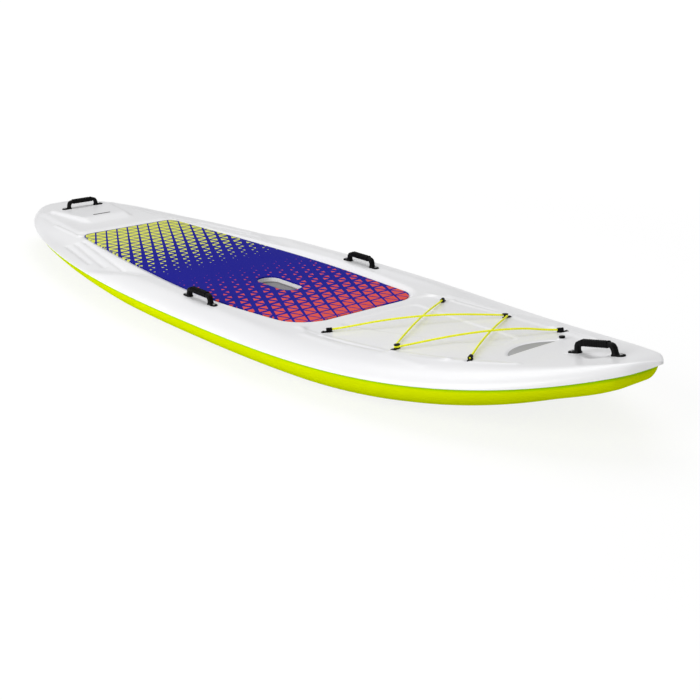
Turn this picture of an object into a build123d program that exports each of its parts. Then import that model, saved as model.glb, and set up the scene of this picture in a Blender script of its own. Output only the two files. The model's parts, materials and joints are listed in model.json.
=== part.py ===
from build123d import *
import os
from math import cos, pi, radians, sqrt, tan

# Stand-up paddleboard: a rigid, hollow board of two formed shells, with a standing pad,
# four carry handles, a laced bungee over the bow and a screw-in vent plug.
# Millimetres.  +X points to the bow, +Y to port, +Z up.  The origin is under the middle
# of the board's length, on the flat that the hull rests on.

# ---------------------------------------------------------------- board outline and rocker
board_length = 3200.0
board_width = 880.0
widest_x = 50.0             # station of the greatest width
end_half_width = 12.0       # half the width of the blunt tail and nose
bow_fullness = 2.8          # powers of the bow's outline
bow_roundness = 0.8

seam_height = 95.0          # seam between deck and hull, amidships
seam_bow_rise = 142.5
seam_bow_start = 300.0
seam_bow_power = 3.44       # the higher the power, the later the curve climbs
seam_tail_rise = 24.0
seam_tail_start = -300.0
seam_tail_power = 1.8
standing_height = 125.0     # the deck amidships, beside the standing area
deck_bow_rise = 136.0
deck_bow_power = 2.0
deck_tail_rise = 14.0
deck_tail_power = 1.5
keel_bow_rise = 221.5
keel_bow_start = 500.0
keel_bow_power = 2.66
keel_tail_rise = 85.0
keel_tail_start = -300.0
keel_tail_power = 1.3
crown_height = 14.0         # how far the fore deck bulges above its edges
keel_cut = 1.0              # sliced off the hull to leave a true flat

# ---------------------------------------------------------------- shells
skin = 4.0
deck_lip = 6.0              # the deck overhangs the hull all round
bond_line = 0.3             # adhesive between the two shells
flat_share = 0.78           # share of each section's half width that is level
bilge_width = 165.0         # width over which the hull's side turns into the bottom
bilge_share = 0.47
quarter_bend = 0.5523       # makes a Bezier a quarter ellipse
crown_lift = 4 / 3          # a Bezier's middle reaches three quarters of its controls' height
foam_clearance = 0.3
station_count = 19
slope_step = 5.0            # run over which the deck's slope is taken
sky = 400.0                 # above everything

# ---------------------------------------------------------------- standing pad and carry well
pad_from_tail = 594.0
pad_from_bow = 1138.0
pad_widest_x = -50.0
pad_widest_half = 274.5
pad_stern_narrowing = 72.5
pad_stern_power = 1.5
pad_bow_narrowing = 39.5
pad_bow_power = 1.4
pad_station_count = 8
pad_corner = 42.0           # at the stern end
pad_bow_corner = 85.0
pad_thickness = 5.0
pad_gap = 1.5
bed_low = 108.0             # the pad's bed follows the rocker, and this is its lowest
bed_low_x = 50.0
bed_stern_rise = 14.5
bed_bow_rise = 6.5
bed_power = 1.5
bed_slope = 30.0            # width of the slopes from the deck down to the bed
bed_brow = 126.5            # height at which the slopes end, just above the deck
well_x = 24.0
well_length = 194.0
well_width = 82.0
well_depth = 19.0           # below the pad's bed
well_floor_thickness = 3.0
well_rim_height = 4.0
well_rim_thickness = 3.0
well_floor_gap = 0.5

# ---------------------------------------------------------------- stern plateau
plateau_height = 147.0
plateau_from_tail = 172.0
plateau_length = 262.0
plateau_stern_half = 140.0
plateau_bow_half = 108.0
plateau_corner = 24.0
plateau_slope = 30.0        # of its sides, from upright
plateau_root = 125.0        # height that its sides start from, inside the deck
strip_length = 78.0
strip_width = 8.0
strip_thickness = 1.0
strip_from_tail = 384.0

# ---------------------------------------------------------------- bow cargo recess and badge
cargo_depth = 4.0
cargo_stern_from_bow = 1110.0
cargo_handle_gap = 6.0      # between the recess and the bow handle's foot
cargo_stern_half = 268.0
cargo_mid_half = 256.0
cargo_mid_x = 330.0
cargo_bow_half = 136.0
cargo_corner = 60.0
panel_depth = 3.0
panel_stern_from_bow = 1060.0
panel_length = 540.0
panel_stern_half = 150.0
panel_bow_half = 48.0
panel_corner = 26.0
badge_chord = 190.0
badge_sagitta = 46.0
badge_from_bow = 420.0
badge_recess = 3.0
badge_thickness = 1.6
badge_gap = 0.6
badge_seat_gap = 0.3

# ---------------------------------------------------------------- carry handles
foot_spacing = 142.0
foot_length = 42.0
foot_width = 22.0
foot_thickness = 4.0
foot_rounding = 1.5
leg_foot_spacing = 124.0
leg_top_spacing = 116.0
leg_bend = 13.0
core_height = 28.0
core_diameter = 13.0
flare_diameter = 20.0
flare_height = 7.0
grip_diameter = 18.5
grip_length = 86.0
grip_clearance = 0.2
collar_diameter = 22.0
collar_length = 5.0
rib_pitch = 8.0
rib_depth = 1.2
rib_width = 3.0
seat_rise = 0.8             # moulded flat under each foot and hook
seat_margin = 1.0           # clear of the deck round each foot and hook
side_handle_y = 334.0
side_handle_x = 53.0
bow_handle_from_tip = 203.0
stern_handle_from_tail = 217.0

# ---------------------------------------------------------------- screws and backing plates
screw_diameter = 5.0
screw_head_diameter = 9.0
screw_head_height = 2.6
screw_length = 22.0
screw_hole_clearance = 0.25
screw_offset = 10.0         # from the foot's middle, away from the leg
screw_slot_length = 5.6
screw_slot_width = 1.2
screw_slot_depth = 1.4
screw_slot_turn = 45.0
plate_thickness = 3.0
plate_length = 22.0
plate_width = 14.0
plate_corner = 4.0
plate_gap = 0.3

# ---------------------------------------------------------------- bungee hooks and cords
cord_diameter = 6.0
cord_clearance = 0.35
hook_stations = [            # distances from the bow and from the middle
    ("aft", 1018.0, 233.0), ("middle", 727.0, 220.0), ("forward", 474.0, 181.0),
]
hook_tab_length = 34.0
hook_tab_width = 13.0
hook_tab_thickness = 2.6
tab_rounding = 0.8
barrel_x = -7.0
barrel_diameter = 12.0
barrel_length = 17.0
barrel_height = 7.0
post_diameter = 9.0
cap_diameter = 18.0
cap_thickness = 2.4
cap_clearance = 0.6
hook_screw_diameter = 4.0
hook_screw_head = 7.0
hook_screw_head_height = 1.8
hook_screw_length = 12.0

# ---------------------------------------------------------------- vent plug
vent_from_bow = 420.0
vent_y = 117.0
vent_bore = 10.0
vent_running_clearance = 0.1
vent_head_diameter = 17.0
vent_head_height = 4.0
vent_shank_length = 16.0
coin_slot_width = 2.0
coin_slot_depth = 2.0
insert_diameter = 16.0
insert_flange_diameter = 24.0
insert_flange_thickness = 2.0
insert_depth = 14.0
seal_thickness = 1.6
seal_width = 2.4
seal_fit = 0.1

# ---------------------------------------------------------------- fin box
fin_box_from_tail = 330.0
fin_box_length = 216.0
fin_box_width = 32.0
fin_slot_length = 190.0
fin_slot_width = 9.6
fin_slot_depth = 24.0
fin_box_wall = 6.0
fin_box_gap = 0.3
fin_box_corner = 5.0
fin_flange = 10.0
fin_flange_thickness = 3.0
fin_flange_gap = 0.5

# ---------------------------------------------------------------- foam stringers
stringer_width = 60.0
stringer_y = 165.0
stringer_stern_x = -250.0
stringer_bow_x = 420.0
stringer_edge = 4.0
foam_block_length = 200.0
foam_block_width = 200.0
foam_block_corner = 12.0
bow_block_from_bow = 620.0
stern_block_from_tail = 610.0

bow_x = board_length / 2
tail_x = -bow_x
pad_stern_x = tail_x + pad_from_tail
pad_bow_x = bow_x - pad_from_bow
bow_handle_x = bow_x - bow_handle_from_tip
stern_handle_x = tail_x + stern_handle_from_tail
foot_reach = foot_spacing / 2
deck_bow_start = pad_bow_x
deck_tail_start = pad_stern_x


def climb(run, span, height, power):
    """Height gained after a run, on a curve that starts level."""
    return height * (max(run, 0) / span) ** power


def half_width(x):
    if x > widest_x:
        share = (x - widest_x) / (bow_x - widest_x)
        full = (1 - share**bow_fullness) ** bow_roundness
    else:
        share = (widest_x - x) / (widest_x - tail_x)
        full = sqrt(1 - share**2)
    return end_half_width + (board_width / 2 - end_half_width) * full


def seam_z(x):
    bow = climb(x - seam_bow_start, bow_x - seam_bow_start, seam_bow_rise, seam_bow_power)
    tail = climb(seam_tail_start - x, seam_tail_start - tail_x, seam_tail_rise, seam_tail_power)
    return seam_height + bow + tail


def edge_z(x):
    """Height of the deck's level part at its outer edges."""
    bow = climb(x - deck_bow_start, bow_x - deck_bow_start, deck_bow_rise, deck_bow_power)
    tail = climb(deck_tail_start - x, deck_tail_start - tail_x, deck_tail_rise, deck_tail_power)
    return standing_height + bow + tail


def crown(x):
    start, end = deck_bow_start, bow_handle_x - foot_spacing
    return crown_height * max(1 - ((2 * x - start - end) / (end - start)) ** 2, 0)


def keel_z(x):
    bow = climb(x - keel_bow_start, bow_x - keel_bow_start, keel_bow_rise, keel_bow_power)
    tail = climb(keel_tail_start - x, keel_tail_start - tail_x, keel_tail_rise, keel_tail_power)
    return bow + tail - keel_cut


def deck_z(x, y):
    """Height of the unsculpted deck within its level part."""
    return edge_z(x) + crown(x) * (1 - (y / (flat_share * half_width(x))) ** 2)


def pad_half(x):
    stern = climb(pad_widest_x - x, pad_widest_x - pad_stern_x, pad_stern_narrowing, pad_stern_power)
    bow = climb(x - pad_widest_x, pad_bow_x - pad_widest_x, pad_bow_narrowing, pad_bow_power)
    return pad_widest_half - stern - bow


def bed_z(x):
    stern = climb(bed_low_x - x, bed_low_x - pad_stern_x, bed_stern_rise, bed_power)
    bow = climb(x - bed_low_x, pad_bow_x - bed_low_x, bed_bow_rise, bed_power)
    return bed_low + stern + bow


def section_plane(x):
    return Plane(origin=(x, 0, 0), x_dir=(0, 1, 0), z_dir=(1, 0, 0))


def stations(inset):
    """Section stations, closer together towards the ends, where the outline curves most."""
    reach = bow_x - inset
    return [-reach * cos(pi * i / (station_count - 1)) for i in range(station_count)]


def deck_section(x, inset):
    """The deck's section from the seam, over the rails and across the crown."""
    half = half_width(x) - inset
    flat = flat_share * half
    base = seam_z(x) + bond_line / 2 - inset
    top = edge_z(x) - inset
    side = top - base
    peak = top + crown(x) * crown_lift
    shoulder = (half - flat) / 2
    drop = shoulder * 2 * crown(x) / flat
    with BuildSketch(section_plane(x)) as section:
        with BuildLine():
            Bezier((half, base), (half, base + side / 2), (flat + shoulder, top - drop), (flat, top))
            Bezier((flat, top), (flat / 3, peak), (-flat / 3, peak), (-flat, top))
            Bezier((-flat, top), (-flat - shoulder, top - drop), (-half, base + side / 2), (-half, base))
            Line((-half, base), (half, base))
        make_face()
    return section.sketch


def hull_section(x, inset):
    """The hull's section from the seam down the bilges to the level bottom."""
    half = half_width(x) - deck_lip - inset
    turn = min(bilge_width, bilge_share * half_width(x))
    flat = half - turn
    top = seam_z(x) - bond_line / 2 + inset
    base = keel_z(x) + inset
    drop = quarter_bend * (top - base)
    corner = flat + quarter_bend * turn
    with BuildSketch(section_plane(x)) as section:
        with BuildLine():
            Bezier((half, top), (half, top - drop), (corner, base), (flat, base))
            Line((flat, base), (-flat, base))
            Bezier((-flat, base), (-corner, base), (-half, top - drop), (-half, top))
            Line((-half, top), (half, top))
        make_face()
    return section.sketch


def lofted(section, inset):
    """The whole solid inside one shell's skin, or outside it where the inset is nothing."""
    with BuildPart() as body:
        loft([section(x, inset) for x in stations(inset)])
    return body.part


def pad_stations(margin):
    """Stations from the pad's stern end to its bow end, with a margin at both."""
    stern, bow = pad_stern_x - margin, pad_bow_x + margin
    return [stern + (bow - stern) * i / (pad_station_count - 1) for i in range(pad_station_count)]


def pad_outline(margin):
    """The standing pad in plan, larger than the pad by a margin."""
    port = [(x, pad_half(x) + margin) for x in pad_stations(margin)]
    starboard = [(x, -y) for x, y in reversed(port)]
    with BuildSketch() as outline:
        with BuildLine():
            Spline(*port)
            Line(port[-1], starboard[0])
            Spline(*starboard)
            Line(starboard[-1], port[0])
        make_face()
        across = outline.vertices().sort_by(Axis.X)
        fillet(across[:2], pad_corner + margin)
        fillet(outline.vertices().sort_by(Axis.X)[-2:], pad_bow_corner + margin)
    return outline.sketch


def above_bed(lift):
    """All that lies above the pad's bed, or above the bed moved by a lift."""
    line = [(x, bed_z(x) + lift) for x in pad_stations(4 * pad_corner)]
    with BuildPart() as space:
        with BuildSketch(Plane.XZ):
            with BuildLine():
                Spline(*line)
                Polyline(line[-1], (line[-1][0], sky), (line[0][0], sky), line[0])
            make_face()
        extrude(amount=board_width / 2, both=True)
    return space.part


def bed_hollow(inset):
    """The space over the pad's bed, with sides that slope up to the deck."""
    margin = pad_gap + inset
    foot = pad_outline(margin).moved(Location((0, 0, bed_low - inset)))
    brow = pad_outline(margin + bed_slope).moved(Location((0, 0, bed_brow - inset)))
    hollow = loft([foot, brow], ruled=True) + extrude(brow, sky - bed_brow)
    return hollow & above_bed(-inset)


def plateau_outline(margin):
    stern = tail_x + plateau_from_tail - margin
    bow = tail_x + plateau_from_tail + plateau_length + margin
    with BuildSketch() as outline:
        with BuildLine():
            Polyline((stern, -plateau_stern_half - margin), (bow, -plateau_bow_half - margin),
                     (bow, plateau_bow_half + margin), (stern, plateau_stern_half + margin), close=True)
        make_face()
        fillet(outline.vertices(), plateau_corner + margin)
    return outline.sketch


def cargo_outline(margin):
    stern = bow_x - cargo_stern_from_bow - margin
    middle = stern + cargo_mid_x
    bow = bow_handle_x - foot_reach - foot_length / 2 - cargo_handle_gap + margin
    with BuildSketch() as outline:
        with BuildLine():
            Spline((stern, cargo_stern_half + margin), (middle, cargo_mid_half + margin),
                   (bow, cargo_bow_half + margin))
            Line((bow, cargo_bow_half + margin), (bow, -cargo_bow_half - margin))
            Spline((bow, -cargo_bow_half - margin), (middle, -cargo_mid_half - margin),
                   (stern, -cargo_stern_half - margin))
            Line((stern, -cargo_stern_half - margin), (stern, cargo_stern_half + margin))
        make_face()
        fillet(outline.vertices(), cargo_corner)
    return outline.sketch


def panel_outline(margin):
    stern = bow_x - panel_stern_from_bow - margin
    bow = stern + panel_length + 2 * margin
    with BuildSketch() as outline:
        with BuildLine():
            Polyline((stern, -panel_stern_half - margin), (bow, -panel_bow_half - margin),
                     (bow, panel_bow_half + margin), (stern, panel_stern_half + margin), close=True)
        make_face()
        fillet(outline.vertices(), panel_corner)
    return outline.sketch


def badge_outline(margin):
    """A half moon across the fore deck, straight towards the bow."""
    chord_x = bow_x - badge_from_bow + margin
    half = badge_chord / 2 + margin
    with BuildSketch() as outline:
        with BuildLine():
            ThreePointArc((chord_x, -half), (chord_x - badge_sagitta - 2 * margin, 0), (chord_x, half))
            Line((chord_x, half), (chord_x, -half))
        make_face()
    return outline.sketch


def well_outline(margin):
    with BuildSketch() as outline:
        with Locations((well_x, 0)):
            SlotOverall(well_length + 2 * margin, well_width + 2 * margin)
    return outline.sketch


def prism(outline, bottom, top):
    """An upright block over an outline, between two heights."""
    return extrude(outline.moved(Location((0, 0, bottom))), top - bottom)


def sculpted(body, inset):
    """Lowers the recesses into a deck body and raises the stern plateau."""
    cargo_bed = body.moved(Location((0, 0, -cargo_depth)))
    panel_bed = cargo_bed.moved(Location((0, 0, -panel_depth)))
    badge_bed = cargo_bed.moved(Location((0, 0, -badge_recess)))
    body = body - (prism(cargo_outline(inset), 0, sky) - cargo_bed)
    body = body - (prism(panel_outline(inset), 0, sky) - panel_bed)
    body = body - (prism(badge_outline(inset), 0, sky) - badge_bed)
    body = body - bed_hollow(inset)
    base = plateau_outline(-inset).moved(Location((0, 0, plateau_root)))
    return body + extrude(base, plateau_height - inset - plateau_root, taper=plateau_slope)


def seat_plane(x, y, sunk):
    """The plane of a moulded flat on the deck, facing out of the surface, +X forwards."""
    slope_x = (deck_z(x + slope_step, y) - deck_z(x - slope_step, y)) / (2 * slope_step)
    slope_y = (deck_z(x, y + slope_step) - deck_z(x, y - slope_step)) / (2 * slope_step)
    origin = (x, y, deck_z(x, y) - sunk + seat_rise)
    return Plane(origin=origin, x_dir=(1, 0, slope_x), z_dir=(-slope_x, -slope_y, 1))


def on_planes(shape, planes):
    """Copies of a shape made at the origin, one on each plane."""
    return [shape.moved(plane.location) for plane in planes]


# ---------------------------------------------------------------- where the handles sit
bow_front, bow_back = deck_z(bow_handle_x + foot_reach, 0), deck_z(bow_handle_x - foot_reach, 0)
bow_climb = bow_front - bow_back
side_seat = standing_height + seat_rise
handle_planes = {
    "bow": Plane(origin=(bow_handle_x, 0, (bow_front + bow_back) / 2 + seat_rise),
                 x_dir=(foot_spacing, 0, bow_climb), z_dir=(-bow_climb, 0, foot_spacing)),
    "stern": Plane(origin=(stern_handle_x, 0, plateau_height + seat_rise), x_dir=(0, 1, 0), z_dir=(0, 0, 1)),
    "port": Plane(origin=(side_handle_x, side_handle_y, side_seat), x_dir=(1, 0, 0), z_dir=(0, 0, 1)),
    "starboard": Plane(origin=(side_handle_x, -side_handle_y, side_seat), x_dir=(1, 0, 0), z_dir=(0, 0, 1)),
}

# ---------------------------------------------------------------- where the bungee hooks sit
# Each hook's +X points outboard, from its barrel or post to its screw.
hooks = {}
for side, sign in [("port", 1), ("starboard", -1)]:
    for place, from_bow, spread in hook_stations:
        hooks[side, place] = seat_plane(bow_x - from_bow, sign * spread, cargo_depth)


def facing(frame, direction):
    """The same plane, with its +X turned towards a direction."""
    level = direction - frame.z_dir * direction.dot(frame.z_dir)
    return Plane(origin=frame.origin, x_dir=level, z_dir=frame.z_dir)


for side, across, outboard in [("port", "starboard", 1), ("starboard", "port", -1)]:
    for place in ("aft", "forward"):
        away = hooks[side, place].origin - hooks[across, "middle"].origin
        hooks[side, place] = facing(hooks[side, place], away)
    hooks[side, "middle"] = facing(hooks[side, "middle"], Vector(0, outboard, 0))

# ---------------------------------------------------------------- where the vent and fin box sit
vent_plane = seat_plane(bow_x - vent_from_bow, vent_y, cargo_depth)
fin_box_x = tail_x + fin_box_from_tail
fin_run = keel_z(fin_box_x + fin_box_length / 2) - keel_z(fin_box_x - fin_box_length / 2)
fin_plane = Plane(origin=(fin_box_x, 0, keel_z(fin_box_x)), x_dir=(fin_box_length, 0, fin_run),
                  z_dir=(fin_run, 0, -fin_box_length))

# ---------------------------------------------------------------- cutters and seats for the deck
screw_reach = foot_reach + screw_offset
hook_screw_reach = (hook_tab_length - hook_tab_width) / 2
plate_top = -seat_rise - skin - plate_gap
through = 4 * skin          # deep enough to pass the skin and what backs it

with BuildPart() as handle_seats:
    with BuildSketch():
        with Locations((-foot_reach, 0), (foot_reach, 0)):
            SlotOverall(foot_length, foot_width)
    extrude(amount=-skin)

with BuildPart() as handle_rooms:
    with BuildSketch():
        with Locations((-foot_reach, 0), (foot_reach, 0)):
            SlotOverall(foot_length + 2 * seat_margin, foot_width + 2 * seat_margin)
    extrude(amount=through)

with BuildPart() as handle_holes:
    with Locations((-screw_reach, 0), (screw_reach, 0)):
        Cylinder(screw_diameter / 2 + screw_hole_clearance, 2 * through)

with BuildPart() as plate_rooms:
    with BuildSketch(Plane.XY.offset(plate_top + plate_gap)):
        with Locations((-screw_reach, 0), (screw_reach, 0)):
            RectangleRounded(plate_length + 2 * seat_margin, plate_width + 2 * seat_margin, plate_corner)
    extrude(amount=-through)

with BuildPart() as hook_seat:
    with BuildSketch():
        SlotOverall(hook_tab_length, hook_tab_width)
    extrude(amount=-skin)

with BuildPart() as hook_room:
    with BuildSketch():
        SlotOverall(hook_tab_length + 2 * seat_margin, hook_tab_width + 2 * seat_margin)
    extrude(amount=through)

with BuildPart() as hook_hole:
    with Locations((hook_screw_reach, 0)):
        Cylinder(hook_screw_diameter / 2 + screw_hole_clearance, 2 * through)

with BuildPart() as vent_seat:
    Cylinder(insert_flange_diameter / 2, skin, align=(Align.CENTER, Align.CENTER, Align.MAX))

with BuildPart() as vent_hole:
    Cylinder(insert_diameter / 2 + screw_hole_clearance, 2 * through)

# ---------------------------------------------------------------- deck shell
deck_raw = lofted(deck_section, 0)
well_floor = bed_z(well_x) - well_depth
well_cup = prism(well_outline(skin), well_floor - skin, bed_low - skin / 2)
deck_hollow = sculpted(lofted(deck_section, skin), skin) - prism(well_outline(skin), 0, sky)
deck_skin = sculpted(deck_raw, 0) + well_cup - deck_hollow
well_hollow = prism(well_outline(0), well_floor, sky)
with BuildPart() as deck_shell:
    add(deck_skin)
    add(well_hollow, mode=Mode.SUBTRACT)
    add(on_planes(handle_rooms.part, handle_planes.values()), mode=Mode.SUBTRACT)
    add(on_planes(plate_rooms.part, handle_planes.values()), mode=Mode.SUBTRACT)
    add(on_planes(hook_room.part, hooks.values()), mode=Mode.SUBTRACT)
    add(on_planes(handle_seats.part, handle_planes.values()))
    add(on_planes(hook_seat.part, hooks.values()))
    add(on_planes(vent_seat.part, [vent_plane]))
    add(on_planes(handle_holes.part, handle_planes.values()), mode=Mode.SUBTRACT)
    add(on_planes(hook_hole.part, hooks.values()), mode=Mode.SUBTRACT)
    add(on_planes(vent_hole.part, [vent_plane]), mode=Mode.SUBTRACT)
deck_shell.part.label = "deck_shell"
export_step(deck_shell.part, "parts/deck_shell.step")

# ---------------------------------------------------------------- hull shell
hull_solid = split(lofted(hull_section, 0), Plane.XY, keep=Keep.TOP)
hull_hollow = split(lofted(hull_section, skin), Plane.XY.offset(skin), keep=Keep.TOP)
with BuildPart() as hull_shell:
    add(hull_solid - hull_hollow)
    with BuildSketch(fin_plane):
        RectangleRounded(fin_box_length + 2 * fin_box_gap, fin_box_width + 2 * fin_box_gap, fin_box_wall)
    extrude(amount=through, both=True, mode=Mode.SUBTRACT)
hull_shell.part.label = "hull_shell"
export_step(hull_shell.part, "parts/hull_shell.step")

# ---------------------------------------------------------------- foam inside the shells
with BuildPart() as stringer:
    with BuildSketch(Plane.XY.offset(skin + foam_clearance)):
        with Locations(((stringer_stern_x + stringer_bow_x) / 2, stringer_y)):
            Rectangle(stringer_bow_x - stringer_stern_x, stringer_width)
    extrude(amount=bed_low - 2 * skin - 2 * foam_clearance)
    chamfer(stringer.edges().filter_by(Axis.Z), stringer_edge)

for side, shape in [("port", stringer.part), ("starboard", stringer.part.mirror(Plane.XZ))]:
    shape.label = "foam_stringer_" + side
    export_step(shape, "parts/foam_stringer_" + side + ".step")

foam_inset = skin + foam_clearance
deck_cavity = sculpted(lofted(deck_section, foam_inset), foam_inset)
hull_cavity = split(lofted(hull_section, foam_inset), Plane.XY.offset(foam_inset), keep=Keep.TOP)
for place, middle in [("bow", bow_x - bow_block_from_bow), ("stern", tail_x + stern_block_from_tail)]:
    with BuildPart() as column:
        with BuildSketch():
            with Locations((middle, 0)):
                RectangleRounded(foam_block_length, foam_block_width, foam_block_corner)
        extrude(amount=sky)
    block = (column.part & hull_cavity) + (column.part & deck_cavity)
    block.label = "foam_block_" + place
    export_step(block, "parts/foam_block_" + place + ".step")

# ---------------------------------------------------------------- standing pad
pad_column = prism(pad_outline(0), 0, sky) - prism(well_outline(pad_gap), 0, sky)
deck_pad = (pad_column & above_bed(0)) - above_bed(pad_thickness)
deck_pad.label = "deck_pad"
export_step(deck_pad, "parts/deck_pad.step")

# ---------------------------------------------------------------- liner on the carry well's floor
liner_shape, liner_hollow = well_outline(-well_floor_gap), well_outline(-well_floor_gap - well_rim_thickness)
with BuildPart() as carry_well_liner:
    with BuildSketch(Plane.XY.offset(well_floor)):
        add(liner_shape)
    extrude(amount=well_floor_thickness + well_rim_height)
    with BuildSketch(Plane.XY.offset(well_floor + well_floor_thickness)):
        add(liner_hollow)
    extrude(amount=well_rim_height, mode=Mode.SUBTRACT)
carry_well_liner.part.label = "carry_well_liner"
export_step(carry_well_liner.part, "parts/carry_well_liner.step")

# ---------------------------------------------------------------- bare badge plate and stern strip
badge_bed = deck_raw.moved(Location((0, 0, badge_seat_gap - cargo_depth - badge_recess)))
badge_column = prism(badge_outline(-badge_gap), 0, sky)
bow_badge_plate = (badge_column & badge_bed.moved(Location((0, 0, badge_thickness)))) - badge_bed
bow_badge_plate.label = "bow_badge_plate"
export_step(bow_badge_plate, "parts/bow_badge_plate.step")

with BuildPart() as stern_strip:
    with BuildSketch(Plane.XY.offset(plateau_height)):
        with Locations((tail_x + strip_from_tail, 0)):
            SlotOverall(strip_length, strip_width, rotation=90)
    extrude(amount=strip_thickness)
stern_strip.part.label = "stern_strip"
export_step(stern_strip.part, "parts/stern_strip.step")

# ---------------------------------------------------------------- carry handles, made once
with BuildPart() as handle:
    with BuildSketch():
        with Locations((-foot_reach, 0), (foot_reach, 0)):
            SlotOverall(foot_length, foot_width)
    extrude(amount=foot_thickness)
    fillet(handle.faces().sort_by(Axis.Z)[-2:].edges(), foot_rounding)
    with BuildLine() as bar:
        FilletPolyline((-leg_foot_spacing / 2, 0, foot_thickness / 2), (-leg_top_spacing / 2, 0, core_height),
                       (leg_top_spacing / 2, 0, core_height), (leg_foot_spacing / 2, 0, foot_thickness / 2),
                       radius=leg_bend)
    with BuildSketch(Plane(origin=bar.line @ 0, z_dir=bar.line % 0)):
        Circle(core_diameter / 2)
    sweep(path=bar.line)
    with Locations((-leg_foot_spacing / 2, 0, foot_thickness), (leg_foot_spacing / 2, 0, foot_thickness)):
        Cone(flare_diameter / 2, core_diameter / 2, flare_height, align=(Align.CENTER, Align.CENTER, Align.MIN))
    add(handle_holes.part, mode=Mode.SUBTRACT)

# ---------------------------------------------------------------- ribbed grip moulded round a handle's bar
grip_plane = Plane(origin=(-grip_length / 2, 0, core_height), z_dir=(1, 0, 0))
rib_count = int((grip_length - 2 * collar_length) / rib_pitch)
with BuildPart(grip_plane) as grip:
    Cylinder(grip_diameter / 2 - rib_depth, grip_length, align=(Align.CENTER, Align.CENTER, Align.MIN))
    with Locations((0, 0, 0), (0, 0, grip_length - collar_length)):
        Cylinder(collar_diameter / 2, collar_length, align=(Align.CENTER, Align.CENTER, Align.MIN))
    with Locations([(0, 0, grip_length / 2 + rib_pitch * (i - (rib_count - 1) / 2)) for i in range(rib_count)]):
        Cylinder(grip_diameter / 2, rib_width)
    Cylinder(core_diameter / 2 + grip_clearance, 3 * grip_length, mode=Mode.SUBTRACT)

for name, plane in handle_planes.items():
    for kind, shape in [("_handle", handle.part), ("_handle_grip", grip.part)]:
        placed = shape.moved(plane.location)
        placed.label = name + kind
        export_step(placed, "parts/" + name + kind + ".step")

# ---------------------------------------------------------------- handle screws and their backing plates
with BuildPart() as screw_pair:
    with Locations((-screw_reach, 0, foot_thickness), (screw_reach, 0, foot_thickness)):
        Cylinder(screw_head_diameter / 2, screw_head_height, align=(Align.CENTER, Align.CENTER, Align.MIN))
        Cylinder(screw_diameter / 2, screw_length, align=(Align.CENTER, Align.CENTER, Align.MAX))
        with Locations((0, 0, screw_head_height)):
            Box(screw_slot_length, screw_slot_width, screw_slot_depth, rotation=(0, 0, screw_slot_turn),
                align=(Align.CENTER, Align.CENTER, Align.MAX), mode=Mode.SUBTRACT)
            Box(screw_slot_width, screw_slot_length, screw_slot_depth, rotation=(0, 0, screw_slot_turn),
                align=(Align.CENTER, Align.CENTER, Align.MAX), mode=Mode.SUBTRACT)

with BuildPart() as plate_pair:
    with BuildSketch(Plane.XY.offset(plate_top)):
        with Locations((-screw_reach, 0), (screw_reach, 0)):
            RectangleRounded(plate_length, plate_width, plate_corner)
    extrude(amount=-plate_thickness)
    add(handle_holes.part, mode=Mode.SUBTRACT)

for name, shape in [("handle_screws", screw_pair.part), ("handle_backing_plates", plate_pair.part)]:
    group = Compound(label=name, children=[solid for copy in on_planes(shape, handle_planes.values())
                                           for solid in copy.solids()])
    export_step(group, "parts/" + name + ".step")

# ---------------------------------------------------------------- bungee hooks: end clips and middle posts
with BuildPart() as tab:
    with BuildSketch():
        SlotOverall(hook_tab_length, hook_tab_width)
    extrude(amount=hook_tab_thickness)
    fillet(tab.faces().sort_by(Axis.Z)[-1].edges(), tab_rounding)
    add(hook_hole.part, mode=Mode.SUBTRACT)

with BuildPart() as end_clip:
    add(tab.part)
    with Locations((barrel_x, 0, barrel_height)):
        Cylinder(barrel_diameter / 2, barrel_length, rotation=(0, 90, 0))
        Cylinder(cord_diameter / 2 + cord_clearance, 2 * barrel_length, rotation=(0, 90, 0), mode=Mode.SUBTRACT)

post_top = barrel_height + cord_diameter / 2 + cap_clearance
with BuildPart() as post_hook:
    add(tab.part)
    with Locations((barrel_x, 0, 0)):
        Cylinder(post_diameter / 2, post_top, align=(Align.CENTER, Align.CENTER, Align.MIN))
    with Locations((barrel_x, 0, post_top)):
        Cylinder(cap_diameter / 2, cap_thickness, align=(Align.CENTER, Align.CENTER, Align.MIN))
    fillet(post_hook.faces().sort_by(Axis.Z)[-1].edges(), tab_rounding)

for (side, place), plane in hooks.items():
    shape = post_hook.part if place == "middle" else end_clip.part
    placed = shape.moved(plane.location)
    placed.label = "bungee_hook_" + side + "_" + place
    export_step(placed, "parts/" + placed.label + ".step")

with BuildPart() as hook_screw:
    with Locations((hook_screw_reach, 0, hook_tab_thickness)):
        Cylinder(hook_screw_head / 2, hook_screw_head_height, align=(Align.CENTER, Align.CENTER, Align.MIN))
        Cylinder(hook_screw_diameter / 2, hook_screw_length, align=(Align.CENTER, Align.CENTER, Align.MAX))
screws = Compound(label="bungee_hook_screws",
                  children=[copy.solid() for copy in on_planes(hook_screw.part, hooks.values())])
export_step(screws, "parts/bungee_hook_screws.step")

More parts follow.
